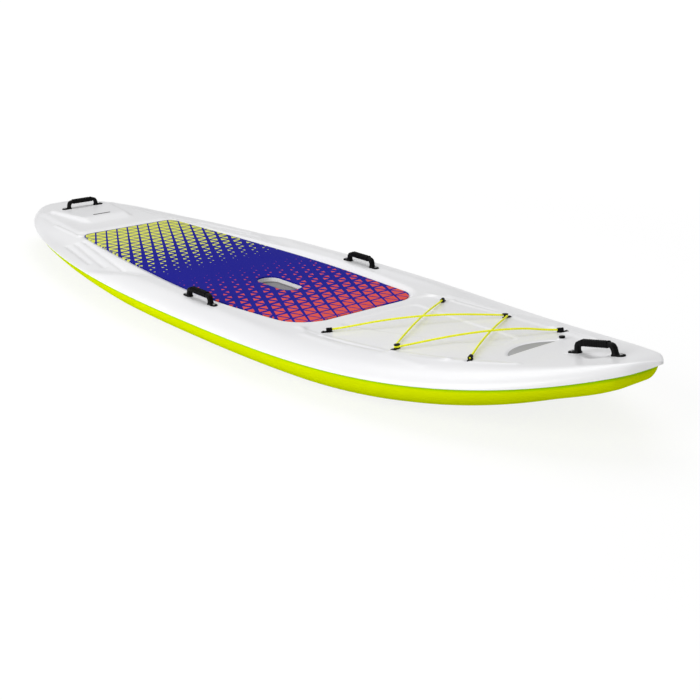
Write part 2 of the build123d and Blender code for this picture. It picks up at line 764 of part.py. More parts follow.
# ---------------------------------------------------------------- bungee cords, laced over the fore deck
# Each runs from an aft clip, over the crowned deck, round the post across from it and back to
# the forward clip.  At the two crossings the cords take turns to lie on top.
lacings = {
    "starboard": [
        (581.4, -233.6, 133.9), (597.6, -208.4, 135.5), (684.7, -70.0, 159.3), (772.9, 70.0, 164.9),
        (868.1, 221.4, 152.5), (876.7, 221.4, 153.1), (970.0, 70.0, 173.7), (1056.2, -70.0, 182.8),
        (1109.4, -156.5, 177.9), (1125.5, -181.8, 178.5),
    ],
    "port": [
        (581.4, 233.6, 133.9), (597.6, 208.4, 135.5), (684.7, 70.0, 151.3), (772.9, -70.0, 156.9),
        (868.1, -221.4, 152.5), (876.7, -221.4, 153.1), (970.0, -70.0, 181.7), (1056.2, 70.0, 190.8),
        (1109.4, 156.5, 177.9), (1125.5, 181.8, 178.5),
    ],
}
arc_share = 0.45            # of the shorter run beside a corner, taken by its arc


def arc_radii(points):
    """The radius of each corner's arc, as large as its two runs allow."""
    runs = [Vector(*end) - Vector(*start) for start, end in zip(points, points[1:])]
    return [arc_share * min(before.length, after.length) / tan(radians(before.get_angle(after)) / 2)
            for before, after in zip(runs, runs[1:])]


for side, points in lacings.items():
    radii = arc_radii(points)
    print("bungee_cord_" + side, "radii", [round(radius, 1) for radius in radii])
    with BuildPart() as cord:
        with BuildLine() as path:
            FilletPolyline(*points, radius=radii)
        with BuildSketch(Plane(origin=path.line @ 0, z_dir=path.line % 0)):
            Circle(cord_diameter / 2)
        sweep(path=path.line)
    section_area = pi * (cord_diameter / 2) ** 2
    print("  length", round(path.wire().length, 1), "volume", round(cord.part.volume),
          "section times length", round(section_area * path.wire().length))
    cord.part.label = "bungee_cord_" + side
    export_step(cord.part, "parts/bungee_cord_" + side + ".step")

# ---------------------------------------------------------------- vent: threaded insert, sealing ring and plug
seal_bottom = insert_flange_thickness
head_bottom = seal_bottom + seal_thickness
with BuildPart() as vent_insert:
    Cylinder(insert_flange_diameter / 2, insert_flange_thickness, align=(Align.CENTER, Align.CENTER, Align.MIN))
    Cylinder(insert_diameter / 2, insert_depth, align=(Align.CENTER, Align.CENTER, Align.MAX))
    Cylinder(vent_bore / 2, 3 * insert_depth, mode=Mode.SUBTRACT)

shank_radius = vent_bore / 2 - vent_running_clearance
with BuildPart() as vent_seal:
    with BuildSketch(Plane.XY.offset(seal_bottom)):
        Circle(shank_radius + seal_fit + seal_width)
        Circle(shank_radius + seal_fit, mode=Mode.SUBTRACT)
    extrude(amount=seal_thickness)

with BuildPart(Plane.XY.offset(head_bottom)) as vent_plug:
    Cylinder(vent_head_diameter / 2, vent_head_height, align=(Align.CENTER, Align.CENTER, Align.MIN))
    fillet(vent_plug.faces().sort_by(Axis.Z)[-1].edges(), tab_rounding)
    with Locations((0, 0, vent_head_height)):
        Box(vent_head_diameter, coin_slot_width, coin_slot_depth,
            align=(Align.CENTER, Align.CENTER, Align.MAX), mode=Mode.SUBTRACT)
    Cylinder(shank_radius, vent_shank_length, align=(Align.CENTER, Align.CENTER, Align.MAX))

for name, shape in [("vent_insert", vent_insert.part), ("vent_seal", vent_seal.part), ("vent_plug", vent_plug.part)]:
    placed = shape.moved(vent_plane.location)
    placed.label = name
    export_step(placed, "parts/" + name + ".step")

# ---------------------------------------------------------------- fin box, flush in the hull's bottom
with BuildPart() as fin_box:
    with BuildSketch(fin_plane):
        RectangleRounded(fin_box_length, fin_box_width, fin_box_corner)
    extrude(amount=-fin_slot_depth - fin_box_wall)
    with BuildSketch(fin_plane.offset(-skin - fin_flange_gap)):
        RectangleRounded(fin_box_length + 2 * fin_flange, fin_box_width + 2 * fin_flange, fin_box_corner)
    extrude(amount=-fin_flange_thickness)
    with BuildSketch(fin_plane):
        SlotOverall(fin_slot_length, fin_slot_width)
    extrude(amount=-fin_slot_depth, mode=Mode.SUBTRACT)
fin_box.part.label = "fin_box"
export_step(fin_box.part, "parts/fin_box.step")
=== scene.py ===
# %% [markdown]
# # A stand up paddleboard
#
# A rigid board of two formed plastic shells: a white deck and a lime hull that meet at a lip.
# On the deck lie a printed foam pad with a carry well, four moulded handles, a bungee laced
# between six black hooks, and a vent plug.  The engineering model gives every size and place.
# This lesson dresses it: each step makes one piece or one finish.

# %% Load the frame
import json
import math

import bmesh
import bpy
import numpy as np
from mathutils import Matrix, Vector


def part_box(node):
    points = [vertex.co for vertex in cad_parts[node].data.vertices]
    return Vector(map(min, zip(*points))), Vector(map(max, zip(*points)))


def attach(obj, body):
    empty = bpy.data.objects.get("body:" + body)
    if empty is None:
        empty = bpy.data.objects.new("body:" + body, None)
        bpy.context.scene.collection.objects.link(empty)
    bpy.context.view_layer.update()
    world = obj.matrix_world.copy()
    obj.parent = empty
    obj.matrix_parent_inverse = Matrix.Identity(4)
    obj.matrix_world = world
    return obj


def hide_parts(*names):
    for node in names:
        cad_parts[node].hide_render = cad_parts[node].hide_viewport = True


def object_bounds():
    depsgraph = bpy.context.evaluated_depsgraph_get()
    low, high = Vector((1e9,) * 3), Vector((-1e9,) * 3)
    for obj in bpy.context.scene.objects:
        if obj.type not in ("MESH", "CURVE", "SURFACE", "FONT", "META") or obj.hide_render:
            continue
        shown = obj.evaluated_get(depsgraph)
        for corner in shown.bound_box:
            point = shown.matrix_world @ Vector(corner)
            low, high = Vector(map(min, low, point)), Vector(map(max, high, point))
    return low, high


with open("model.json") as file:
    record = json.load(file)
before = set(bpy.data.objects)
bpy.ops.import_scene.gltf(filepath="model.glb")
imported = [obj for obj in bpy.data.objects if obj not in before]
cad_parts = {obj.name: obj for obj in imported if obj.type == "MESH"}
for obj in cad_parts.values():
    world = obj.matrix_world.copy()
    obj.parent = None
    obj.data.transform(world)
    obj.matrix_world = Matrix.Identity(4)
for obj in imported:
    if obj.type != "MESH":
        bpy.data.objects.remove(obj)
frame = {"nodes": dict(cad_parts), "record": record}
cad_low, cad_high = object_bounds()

print("board", [round(high - low, 3) for low, high in zip(cad_low, cad_high)], "m")

# %% [markdown]
# ## The camera
#
# The camera stands off the board's starboard bow, a little above it, and leans by under a
# degree.  Its turns are given as yaw, pitch and roll, which say more than a matrix does.

# %% Camera
scene = bpy.context.scene
scene.view_settings.view_transform = "Standard"

camera_place = Vector((3.29376, -2.33058, 1.25224))
camera_yaw, camera_pitch, camera_roll = 2.455546, -0.332146, -0.011501

ahead = Vector((math.cos(camera_yaw) * math.cos(camera_pitch),
                math.sin(camera_yaw) * math.cos(camera_pitch), math.sin(camera_pitch)))
level_right = Vector((math.sin(camera_yaw), -math.cos(camera_yaw), 0))
level_up = level_right.cross(ahead)
right = math.cos(camera_roll) * level_right + math.sin(camera_roll) * level_up
up = math.cos(camera_roll) * level_up - math.sin(camera_roll) * level_right

camera = bpy.data.objects.new("camera", bpy.data.cameras.new("camera"))
scene.collection.objects.link(camera)
camera.matrix_world = Matrix.Translation(camera_place) @ Matrix((right, up, -ahead)).transposed().to_4x4()
camera.data.lens = 63.188
camera.data.shift_x = -0.0135
camera.data.clip_start, camera.data.clip_end = 0.05, 60
scene.camera = camera
print("camera looks along", [round(value, 3) for value in ahead])

# %% [markdown]
# ## The bungee cords
#
# Two elastic cords lie tight over the crown of the fore deck.  Each leaves an aft clip, crosses
# the deck, goes round the post on the other side and comes back to the forward clip, and at the
# two crossings they take turns to lie on top.  A cord is a NURBS curve through its route's
# points with a round bevel, because a curve stays smooth however near the view comes.  The
# route repeats the engineering model's points.

# %% Cord routes
cord_diameter = 0.006
crossing_lift = 0.008       # how much higher a cord lies where it goes over the other one
lower_route = [             # station, distance towards the cord's own side, height
    (0.5814, 0.2336, 0.1339), (0.5976, 0.2084, 0.1355), (0.6847, 0.0700, 0.1513),
    (0.7729, -0.0700, 0.1569), (0.8681, -0.2214, 0.1525), (0.8767, -0.2214, 0.1531),
    (0.9700, -0.0700, 0.1737), (1.0562, 0.0700, 0.1828), (1.1094, 0.1565, 0.1779),
    (1.1255, 0.1818, 0.1785),
]
cord_sides = {"starboard": (-1, (2, 3)), "port": (1, (6, 7))}       # its side, its points on top


def cord_curve(name, points, thickness):
    """A taut cord along a route's points."""
    curve = bpy.data.curves.new(name, "CURVE")
    curve.dimensions = "3D"
    curve.resolution_u = 12
    curve.bevel_depth = 1
    curve.bevel_resolution = 4
    curve.use_fill_caps = True
    spline = curve.splines.new("NURBS")
    spline.points.add(len(points) - 1)
    for point, place in zip(spline.points, points):
        point.co, point.radius = (*place, 1), thickness / 2
    spline.order_u = 3
    spline.use_endpoint_u = True
    cord = bpy.data.objects.new(name, curve)
    scene.collection.objects.link(cord)
    return cord


cords = {}
for side, (sign, on_top) in cord_sides.items():
    points = [(x, sign * y, round(z + crossing_lift * (number in on_top), 4))
              for number, (x, y, z) in enumerate(lower_route)]
    cord = cord_curve("braided_cord_" + side, points, cord_diameter)
    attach(cord, "board")
    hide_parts("bungee_cord_" + side)
    cords[side] = cord
print("cords", sorted(cords))

# %% [markdown]
# ## Writing materials as sums
#
# A finish is a small calculation: a mask times one colour plus the rest times another.  Wrapping
# a socket in a class that knows the arithmetic signs lets the calculation be written as one, and
# each sign adds its Math node.  Colours and vectors go through Mix and Vector Math nodes.

# %% A material as an expression
def two_sided(operation, swapped=False):
    """A method that adds one Math node, with this value first, or second when swapped."""
    if swapped:
        return lambda value, other: value.math(operation, other, value)
    return lambda value, other: value.math(operation, value, other)


class Value:
    """A socket of a finish's node tree that can be used in a sum."""

    def __init__(self, finish, socket):
        self.finish, self.socket = finish, socket

    def math(self, operation, *values):
        return self.finish.node("ShaderNodeMath", {"operation": operation}, dict(enumerate(values)))

    __add__, __radd__ = two_sided("ADD"), two_sided("ADD", swapped=True)
    __sub__, __rsub__ = two_sided("SUBTRACT"), two_sided("SUBTRACT", swapped=True)
    __mul__, __rmul__ = two_sided("MULTIPLY"), two_sided("MULTIPLY", swapped=True)
    __gt__, least, most = two_sided("GREATER_THAN"), two_sided("MINIMUM"), two_sided("MAXIMUM")

    def __abs__(self):
        return self.math("ABSOLUTE", self)

    def fraction(self):
        return self.math("FRACT", self)

    def sine(self):
        return self.math("SINE", self)

    def step(self, low, high):
        """Nothing below low, one above high, and a soft rise between them."""
        return self.finish.node("ShaderNodeMapRange", {"interpolation_type": "SMOOTHSTEP"},
                                {"Value": self, "From Min": low, "From Max": high})


class Finish:
    """A material with one Principled surface."""

    def __init__(self, name, **constants):
        self.material = bpy.data.materials.new(name)
        self.material.use_nodes = True
        self.nodes, self.links = self.material.node_tree.nodes, self.material.node_tree.links
        self.surface = self.nodes["Principled BSDF"]
        self.set(**constants)

    def put(self, socket, value):
        if isinstance(value, Value):
            self.links.new(value.socket, socket)
        elif isinstance(value, (tuple, list)) and len(value) == 3 and len(socket.default_value) == 4:
            socket.default_value = (*value, 1)
        else:
            socket.default_value = value

    def set(self, **values):
        """Gives the surface's sockets their values; Base_Color stands for Base Color."""
        for name, value in values.items():
            self.put(self.surface.inputs[name.replace("_", " ")], value)

    def node(self, kind, settings=None, inputs=None, output=0):
        made = self.nodes.new(kind)
        for name, value in (settings or {}).items():
            setattr(made, name, value)
        for name, value in (inputs or {}).items():
            self.put(made.inputs[name], value)
        return Value(self, made.outputs[output])

    def place(self):
        return self.node("ShaderNodeTexCoord", output="Object")

    def parts(self, vector):
        return [self.node("ShaderNodeSeparateXYZ", {}, {0: vector}, output=axis) for axis in "XYZ"]

    def stretched(self, vector, scale):
        return self.node("ShaderNodeMapping", {}, {"Vector": vector, "Scale": scale})

    def noise(self, vector, scale, detail=2.0):
        return self.node("ShaderNodeTexNoise", {}, {"Vector": vector, "Scale": scale, "Detail": detail})

    def mix(self, share, first, second):
        return self.node("ShaderNodeMix", {"data_type": "RGBA"}, {0: share, 6: first, 7: second}, output=2)

    def bump(self, height, distance, strength):
        return self.node("ShaderNodeBump", {},
                         {"Height": height, "Distance": distance, "Strength": strength})


print("finishes are written with", Finish.__name__, "and", Value.__name__)

# %% [markdown]
# ## Floor and light
#
# The board stands on a plain white floor with a low white backdrop far behind it.  Both are
# painted white for the camera.  Near the board the floor keeps a share of its own shading, so
# that the board's shadow stays.  The light is that of a studio: a wide lamp beside the camera
# for the rails, and a wide one overhead.

# %% Floor
floor_size = 120
floor_sunk = 0.0005         # keeps the floor off the hull's flat
backdrop_radius, backdrop_height, backdrop_middle = 59, 3, 1.4
shadow_share = 0.20         # the share of its own shading that the floor keeps near the board
shadow_full, shadow_gone = 1.7, 4.0


def white_to_camera(finish, plain, share, strength):
    """Mixes plain white light into a surface for rays from the camera, mirrors and glass."""
    path = finish.nodes.new("ShaderNodeLightPath")
    rays = ("Is Camera Ray", "Is Glossy Ray", "Is Transmission Ray")
    by_camera, by_mirror, by_glass = (Value(finish, path.outputs[ray]) for ray in rays)
    seen = by_camera.most(by_mirror).most(by_glass)
    glow = finish.node("ShaderNodeEmission", {}, {"Color": (1, 1, 1), "Strength": strength})
    return finish.node("ShaderNodeMixShader", {}, {0: seen * share, 1: plain, 2: glow})


floor_finish = Finish("floor_paper", Base_Color=(0.9, 0.9, 0.9), Roughness=0.9)
floor_finish.set(**{"Specular IOR Level": 0.0})
floor_plain = Value(floor_finish, floor_finish.surface.outputs[0])
far_off = floor_finish.node("ShaderNodeVectorMath", {"operation": "LENGTH"},
                            {0: floor_finish.place()}, output=1)
floor_share = (1 - shadow_share) + shadow_share * far_off.step(shadow_full, shadow_gone)
floor_seen = white_to_camera(floor_finish, floor_plain, share=floor_share, strength=1.05)
floor_finish.links.new(floor_seen.socket, floor_finish.nodes["Material Output"].inputs["Surface"])


def stage_piece(name):
    """Gives the newest object the floor's finish."""
    piece = bpy.context.object
    piece.name = name
    piece.data.materials.append(floor_finish.material)
    return piece


bpy.ops.object.select_all(action="DESELECT")
bpy.ops.mesh.primitive_plane_add(size=floor_size, location=(0, 0, -floor_sunk))
floor = stage_piece("floor")
bpy.ops.mesh.primitive_cylinder_add(vertices=128, radius=backdrop_radius, depth=backdrop_height,
                                    end_fill_type="NOTHING", location=(0, 0, backdrop_middle))
backdrop = stage_piece("backdrop")
print("floor", floor.dimensions[:2], "and", backdrop.name)

# %% Lamps and sky
world = bpy.data.worlds.new("booth")
scene.world = world
world.use_nodes = True
sky = world.node_tree.nodes["Background"]
sky.inputs["Color"].default_value = (1, 1, 1, 1)
sky.inputs["Strength"].default_value = 0.36


board_middle = Vector((0, 0, 0.1))


def area_lamp(name, place, size, power):
    """A wide square lamp that looks at the middle of the board."""
    lamp = bpy.data.objects.new(name, bpy.data.lights.new(name, "AREA"))
    scene.collection.objects.link(lamp)
    lamp.location = place
    lamp.rotation_mode = "QUATERNION"
    lamp.rotation_quaternion = (board_middle - Vector(place)).to_track_quat("-Z", "Y")
    lamp.data.shape = "SQUARE"
    lamp.data.size = size
    lamp.data.energy = power


area_lamp("beside_camera", place=(0.3, -5.2, 2.3), size=3.8, power=205)
area_lamp("overhead", place=(-0.6, 0.8, 4.2), size=4.0, power=105)
print("lamps", [light.name for light in bpy.data.lights])

# %% [markdown]
# ## The finishes
#
# The shells are vacuum-formed plastic: glossy, with the faintest waviness left by the mould.
# A gloss finish is mostly roughness: it is low, and it drifts a little from place to place.
# Under the deck's lip the hull's lime is painted a deeper green over the first 13 mm, a painted shadow of
# the lip.

# %% Formed plastic
def formed_plastic(name, colour, deeper, gloss, shine=0.5, painted_lip_shadow=None):
    """Glossy sheet plastic, a shade deeper in broad patches, with a faint waviness, and where asked a
    painted shadow under a lip.
    """
    finish = Finish(name)
    place = finish.place()
    drift = finish.noise(place, 3.0)
    grain = finish.noise(place, 900.0, detail=1.0)
    wave = finish.noise(place, 28.0, detail=1.0)
    tone = finish.mix(drift.step(0.35, 0.7), colour, deeper)
    # Painted shade: the colour turns deeper over the first 13 mm below the deck's lip, where the lip's
    # shadow falls.
    if painted_lip_shadow:
        below = finish.node("ShaderNodeAttribute", {"attribute_name": "lip_shadow_depth"}, output="Fac")
        tone = finish.mix(below.step(0.001, 0.013), painted_lip_shadow, tone)
    finish.set(Base_Color=tone, Roughness=gloss + 0.08 * drift + 0.03 * grain,
               Normal=finish.bump(wave, 0.0004, 0.25), **{"Specular IOR Level": shine})
    return finish.material


deck_white = formed_plastic("deck_white", (0.845, 0.845, 0.855), (0.825, 0.825, 0.84), 0.24)
# The hull's deeper green under the lip is a painted shadow of the deck's lip.
hull_lime = formed_plastic("hull_lime", (0.61, 0.715, 0.0), (0.58, 0.685, 0.0), 0.4, shine=0.0,
                           painted_lip_shadow=(0.29, 0.56, 0.0))
print(deck_white.name, hull_lime.name)

# %% Fittings
def moulded_nylon(name, shade, gloss, grain_scale=1400.0, shine=0.5):
    """Moulded plastic, rubber or foam in one shade, with a fine grain and faint scuffs."""
    finish = Finish(name)
    place = finish.place()
    grain = finish.noise(place, grain_scale)
    scuff = finish.noise(place, 60.0, detail=3.0)
    tone = finish.mix(scuff.step(0.45, 0.8), (shade, shade, shade * 1.04), (shade * 1.9,) * 3)
    finish.set(Base_Color=tone, Roughness=gloss + 0.14 * scuff,
               Normal=finish.bump(grain, 0.00012, 0.5), **{"Specular IOR Level": shine})
    return finish.material


def brushed_metal(name, shade, streak_scale):
    """Bare metal with streaks along the axis that has the smallest scale."""
    finish = Finish(name, Metallic=1.0)
    streak = finish.noise(finish.stretched(finish.place(), streak_scale), 1.0)
    finish.set(Base_Color=finish.mix(streak, (shade * 0.85,) * 3, (shade,) * 3),
               Roughness=0.22 + 0.2 * streak)
    return finish.material


black_nylon = moulded_nylon("black_nylon", 0.004, 0.36, shine=0.07)
grip_rubber = moulded_nylon("grip_rubber", 0.004, 0.45, 2200.0, shine=0.07)
seal_rubber = moulded_nylon("seal_rubber", 0.008, 0.55, 1800.0, shine=0.2)
well_grey = formed_plastic("well_grey", (0.235, 0.23, 0.24), (0.205, 0.2, 0.21), 0.4, shine=0.2)
badge_grey = formed_plastic("badge_grey", (0.40, 0.40, 0.41), (0.33, 0.33, 0.34), 0.3)
strip_grey = formed_plastic("strip_grey", (0.10, 0.10, 0.10), (0.07, 0.07, 0.07), 0.4, shine=0.1)
screw_steel = brushed_metal("screw_steel", 0.62, (900, 60, 900))
black_screw = moulded_nylon("black_screw", 0.02, 0.35, shine=0.4)
core_foam = moulded_nylon("core_foam", 0.75, 0.8, 500.0)
print("fittings", black_nylon.name, grip_rubber.name, screw_steel.name)

# %% [markdown]
# ## The braid of the cords
#
# The cords are a rubber core in a braided sleeve.  The braid's two sets of yarns wind round the
# cord in opposite ways, so in the curve's own UV, where U runs along the cord, each set is a
# family of slanted lines.

# %% Braid
braid = Finish("bungee_braid")
along, around, _ = braid.parts(braid.node("ShaderNodeTexCoord", output="UV"))
yarns_along, yarns_around = 260.0, 6.0
first_yarns = (along * yarns_along + around * yarns_around).fraction()
second_yarns = (along * yarns_along - around * yarns_around).fraction()
yarn_crown = (first_yarns * math.pi).sine().least((second_yarns * math.pi).sine())
# The valleys between the yarns are painted a deeper yellow as painted shade; the crowns keep the cord's
# own yellow.
braid.set(Base_Color=braid.mix(yarn_crown.step(0.05, 0.5), (0.86, 0.90, 0.0), (0.97, 1.0, 0.004)),
          Roughness=0.62 - 0.1 * yarn_crown, Normal=braid.bump(yarn_crown, 0.0005, 0.6))
for cord in cords.values():
    cord.data.materials.append(braid.material)
print("braid on", [cord.name for cord in cords.values()])

# %% [markdown]
# ## The lines of the board
#
# The deck and the hull share one plan, one sheer and one rocker, so these are written as
# functions of the station along the board.  They are the engineering model's own curves.

# %% Plan, sheer and rocker
bow_x, tail_x = cad_high.x, cad_low.x
widest_x = 0.05
end_half_width = 0.012
board_half = 0.44
flat_share = 0.78           # share of the half width that is level
seam_gap = 0.0003
deck_lip = 0.006            # the deck overhangs the hull
bilge_width, bilge_share = 0.165, 0.47
quarter_bend = 0.5523       # makes a Bezier a quarter ellipse
crown_start, crown_end, crown_height = 0.462, 1.255, 0.014


def climb(run, span, height, power):
    """Height gained after a run, on a curve that starts level."""
    return height * (np.maximum(run, 0) / span) ** power


def line(x, level, to_bow, to_stern, bow_end=bow_x, stern_end=tail_x):
    """A line that is level amidships.  Each climb has a start, a height at the end and a power."""
    bow_start, bow_height, bow_power = to_bow
    stern_start, stern_height, stern_power = to_stern
    return (level + climb(x - bow_start, bow_end - bow_start, bow_height, bow_power)
            + climb(stern_start - x, stern_start - stern_end, stern_height, stern_power))


def half_width(x):
    fore = np.clip((x - widest_x) / (bow_x - widest_x), 0, 1)
    aft = np.clip((widest_x - x) / (widest_x - tail_x), 0, 1)
    full = np.where(x > widest_x, (1 - fore**2.8) ** 0.8, np.sqrt(1 - aft**2))
    return end_half_width + (board_half - end_half_width) * full


def seam_z(x):
    return line(x, 0.095, (0.3, 0.1425, 3.44), (-0.3, 0.024, 1.8))


def edge_z(x):
    return line(x, 0.125, (0.462, 0.136, 2.0), (-1.006, 0.014, 1.5))


def keel_z(x):
    return line(x, -0.001, (0.5, 0.2215, 2.66), (-0.3, 0.085, 1.3))


def crown(x):
    from_middle = (2 * x - crown_start - crown_end) / (crown_end - crown_start)
    return crown_height * np.maximum(1 - from_middle**2, 0)


def deck_z(x, y):
    return edge_z(x) + crown(x) * (1 - (y / (flat_share * half_width(x))) ** 2)


pad_stern_x, pad_bow_x = tail_x + 0.594, bow_x - 1.138


def pad_half(x):
    return line(x, 0.2745, (-0.05, -0.0395, 1.4), (-0.05, -0.0725, 1.5), pad_bow_x, pad_stern_x)


def bed_z(x):
    return line(x, 0.108, (0.05, 0.0065, 1.5), (0.05, 0.0145, 1.5), pad_bow_x, pad_stern_x)


print("bow rises to", round(float(edge_z(bow_x)), 3))

# %% [markdown]
# ## The deck
#
# The deck is one formed sheet: level in the middle, rolling over full rails to the seam, with
# every recess, rib and fitting's flat pressed into it.  A fine grid is the honest start for a
# formed sheet.  Its points are laid on the board's lines, and each pressing then moves them up
# or down by a smooth step of the distance to its outline.

# %% Smooth steps and distances
def fade(distance, full, none):
    """One where the distance is at most full, nothing past none, and a soft fall between."""
    share = np.clip((none - distance) / (none - full), 0, 1)
    return share * share * (3 - 2 * share)


def rise(distance, none, full):
    return 1 - fade(distance, none, full)


def between(first, second, share):
    return first + (second - first) * share


def to_rounded(x, y, stern, bow, half, corner):
    """Signed distance to a shape between two stations with rounded corners; half varies with x."""
    off_x = np.maximum(stern + corner - x, x - (bow - corner))
    off_y = np.abs(y) - (half - corner)
    outside = np.hypot(np.maximum(off_x, 0), np.maximum(off_y, 0))
    return outside + np.minimum(np.maximum(off_x, off_y), 0) - corner


def to_slot(x, y, length, width):
    """Signed distance to a slot with round ends, along x."""
    beyond = np.maximum(np.abs(x) - (length - width) / 2, 0)
    return np.hypot(beyond, y) - width / 2


def to_run(x, y, first, second):
    """Distance to a straight run between two places."""
    dx, dy = second[0] - first[0], second[1] - first[1]
    share = np.clip(((x - first[0]) * dx + (y - first[1]) * dy) / (dx * dx + dy * dy), 0, 1)
    return np.hypot(x - first[0] - share * dx, y - first[1] - share * dy)


def through_three(x, places, halves):
    """A parabola through three half widths."""
    (a, b, c), (p, q, r) = places, halves
    return (p * (x - b) * (x - c) / ((a - b) * (a - c)) + q * (x - a) * (x - c) / ((b - a) * (b - c))
            + r * (x - a) * (x - b) / ((c - a) * (c - b)))


print("a fade from 0 to 10 mm is", round(float(fade(0.005, 0, 0.01)), 2), "half way")

# %% [markdown]
# The fittings stand on flats pressed into the deck.  A flat follows the deck's own slope where
# it lies, so its plane comes from the deck's height just before and behind, left and right.

# %% Where the fittings stand
well_low, well_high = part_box("carry_well_liner")
badge_chord_x = vent_x = bow_x - 0.420
vent_y, vent_flat = 0.117, 0.024
cargo_depth = 0.004
seat_rise = 0.0008          # how far a flat stands out of the deck round it
foot_reach = 0.071          # from a handle's middle to the middle of its foot
foot_length, foot_width = 0.042, 0.022
tab_length, tab_width = 0.034, 0.013
side_handle_x, side_handle_y = 0.053, 0.334
bow_handle_x, stern_handle_x = bow_x - 0.203, tail_x + 0.217
plateau_z = 0.147
hook_stations = {           # station and distance from the middle line
    "aft": (bow_x - 1.018, 0.233), "middle": (bow_x - 0.727, 0.220), "forward": (bow_x - 0.474, 0.181),
}


def seat(origin, along, normal):
    """A flat's frame: its first column runs along it and its third stands out of it."""
    normal = Vector(normal).normalized()
    along = Vector(along)
    along = (along - normal * along.dot(normal)).normalized()
    turned = Matrix((along, normal.cross(along), normal)).transposed().to_4x4()
    return Matrix.Translation(origin) @ turned


def seat_on_deck(x, y, sunk):
    """The frame of a flat that lies parallel to the deck."""
    run = 0.005
    slope_x = float(deck_z(x + run, y) - deck_z(x - run, y)) / (2 * run)
    slope_y = float(deck_z(x, y + run) - deck_z(x, y - run)) / (2 * run)
    return seat((x, y, float(deck_z(x, y)) - sunk + seat_rise), (1, 0, slope_x), (-slope_x, -slope_y, 1))


bow_front, bow_back = (float(deck_z(bow_handle_x + side * foot_reach, 0)) for side in (1, -1))
side_seat_z = float(edge_z(0)) + seat_rise
handle_seats = {
    "bow": seat((bow_handle_x, 0, (bow_front + bow_back) / 2 + seat_rise),
                (2 * foot_reach, 0, bow_front - bow_back), (bow_back - bow_front, 0, 2 * foot_reach)),
    "stern": seat((stern_handle_x, 0, plateau_z + seat_rise), (0, 1, 0), (0, 0, 1)),
    "port": seat((side_handle_x, side_handle_y, side_seat_z), (1, 0, 0), (0, 0, 1)),
    "starboard": seat((side_handle_x, -side_handle_y, side_seat_z), (1, 0, 0), (0, 0, 1)),
}
hook_seats = {}
for side, sign in (("port", 1), ("starboard", -1)):
    for place, (x, spread) in hook_stations.items():
        level = seat_on_deck(x, sign * spread, cargo_depth)
        post_x, post_spread = hook_stations["middle"]
        outboard = (0, sign, 0) if place == "middle" else (x - post_x, sign * (spread + post_spread), 0)
        hook_seats[side, place] = seat(level.translation, outboard, level.col[2].to_3d())
vent_seat = seat_on_deck(vent_x, vent_y, cargo_depth)
print("bow handle stands at", [round(value, 4) for value in handle_seats["bow"].translation])

# %% Working on one mesh
def take(piece):
    """Makes a piece the only selected one and the active one."""
    bpy.ops.object.select_all(action="DESELECT")
    bpy.context.view_layer.objects.active = piece
    piece.select_set(True)


def edit_as(kind):
    """Enters edit mode, where nothing is selected and the next pick is of this kind."""
    bpy.ops.object.mode_set(mode="EDIT")
    bpy.ops.mesh.select_mode(type=kind)
    bpy.ops.mesh.select_all(action="DESELECT")


def pick(piece, elements, test):
    """Selects the mesh's vertices, edges or faces that pass a test, and no others."""
    edit = bmesh.from_edit_mesh(piece.data)
    for element in getattr(edit, elements):
        element.select = test(element)
    if elements == "verts":
        edit.select_flush_mode()
    bmesh.update_edit_mesh(piece.data)
    return edit


def leave_outwards():
    """Turns all the normals outwards and leaves edit mode."""
    bpy.ops.mesh.select_all(action="SELECT")
    bpy.ops.mesh.normals_make_consistent(inside=False)
    bpy.ops.object.mode_set(mode="OBJECT")


def smooth(angle):
    bpy.ops.object.shade_smooth_by_angle(angle=math.radians(angle))


def spans(piece):
    return [round(size, 4) for size in piece.dimensions]


def dress(piece, body, material):
    """Gives a finished piece its body and its finish."""
    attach(piece, body)
    piece.data.materials.clear()
    piece.data.materials.append(material)


print("helpers for one mesh at a time")

# %% A formed sheet
def formed_grid(name, along_count, across_count):
    """A flat grid with its two long edges joined below, for the sheet and what closes it."""
    bpy.ops.object.select_all(action="DESELECT")
    bpy.ops.mesh.primitive_grid_add(x_subdivisions=along_count, y_subdivisions=across_count, size=2)
    sheet = bpy.context.object
    sheet.name = name
    edit_as("EDGE")
    pick(sheet, "edges", lambda edge: all(abs(abs(vertex.co.y) - 1) < 1e-6 for vertex in edge.verts))
    bpy.ops.mesh.bridge_edge_loops()
    bpy.ops.object.mode_set(mode="OBJECT")
    return sheet


def grid_shares(sheet):
    """Each point's share along the board, -1 to 1, and across it."""
    flat = np.empty(3 * len(sheet.data.vertices))
    sheet.data.vertices.foreach_get("co", flat)
    return flat[0::3].copy(), flat[1::3].copy()


def shape(sheet, x, y, z):
    sheet.data.vertices.foreach_set("co", np.column_stack((x, y, z)).ravel())
    sheet.data.update()


def rounded_end(x, radius, reach):
    """How full the section is near the tips: one amidships, nothing at the very end."""
    near = np.clip((reach - np.abs(x)) / radius, 0, 1)
    return np.sqrt(np.maximum(1 - (1 - near) ** 2, 0))


def tidy_shell(sheet):
    """Closes the tips, turns the normals outwards and smooths all but the sharp edges."""
    take(sheet)
    bpy.ops.object.mode_set(mode="EDIT")
    bpy.ops.mesh.select_all(action="SELECT")
    bpy.ops.mesh.remove_doubles(threshold=0.00002)
    bpy.ops.mesh.dissolve_degenerate(threshold=0.00001)
    leave_outwards()
    smooth(50)


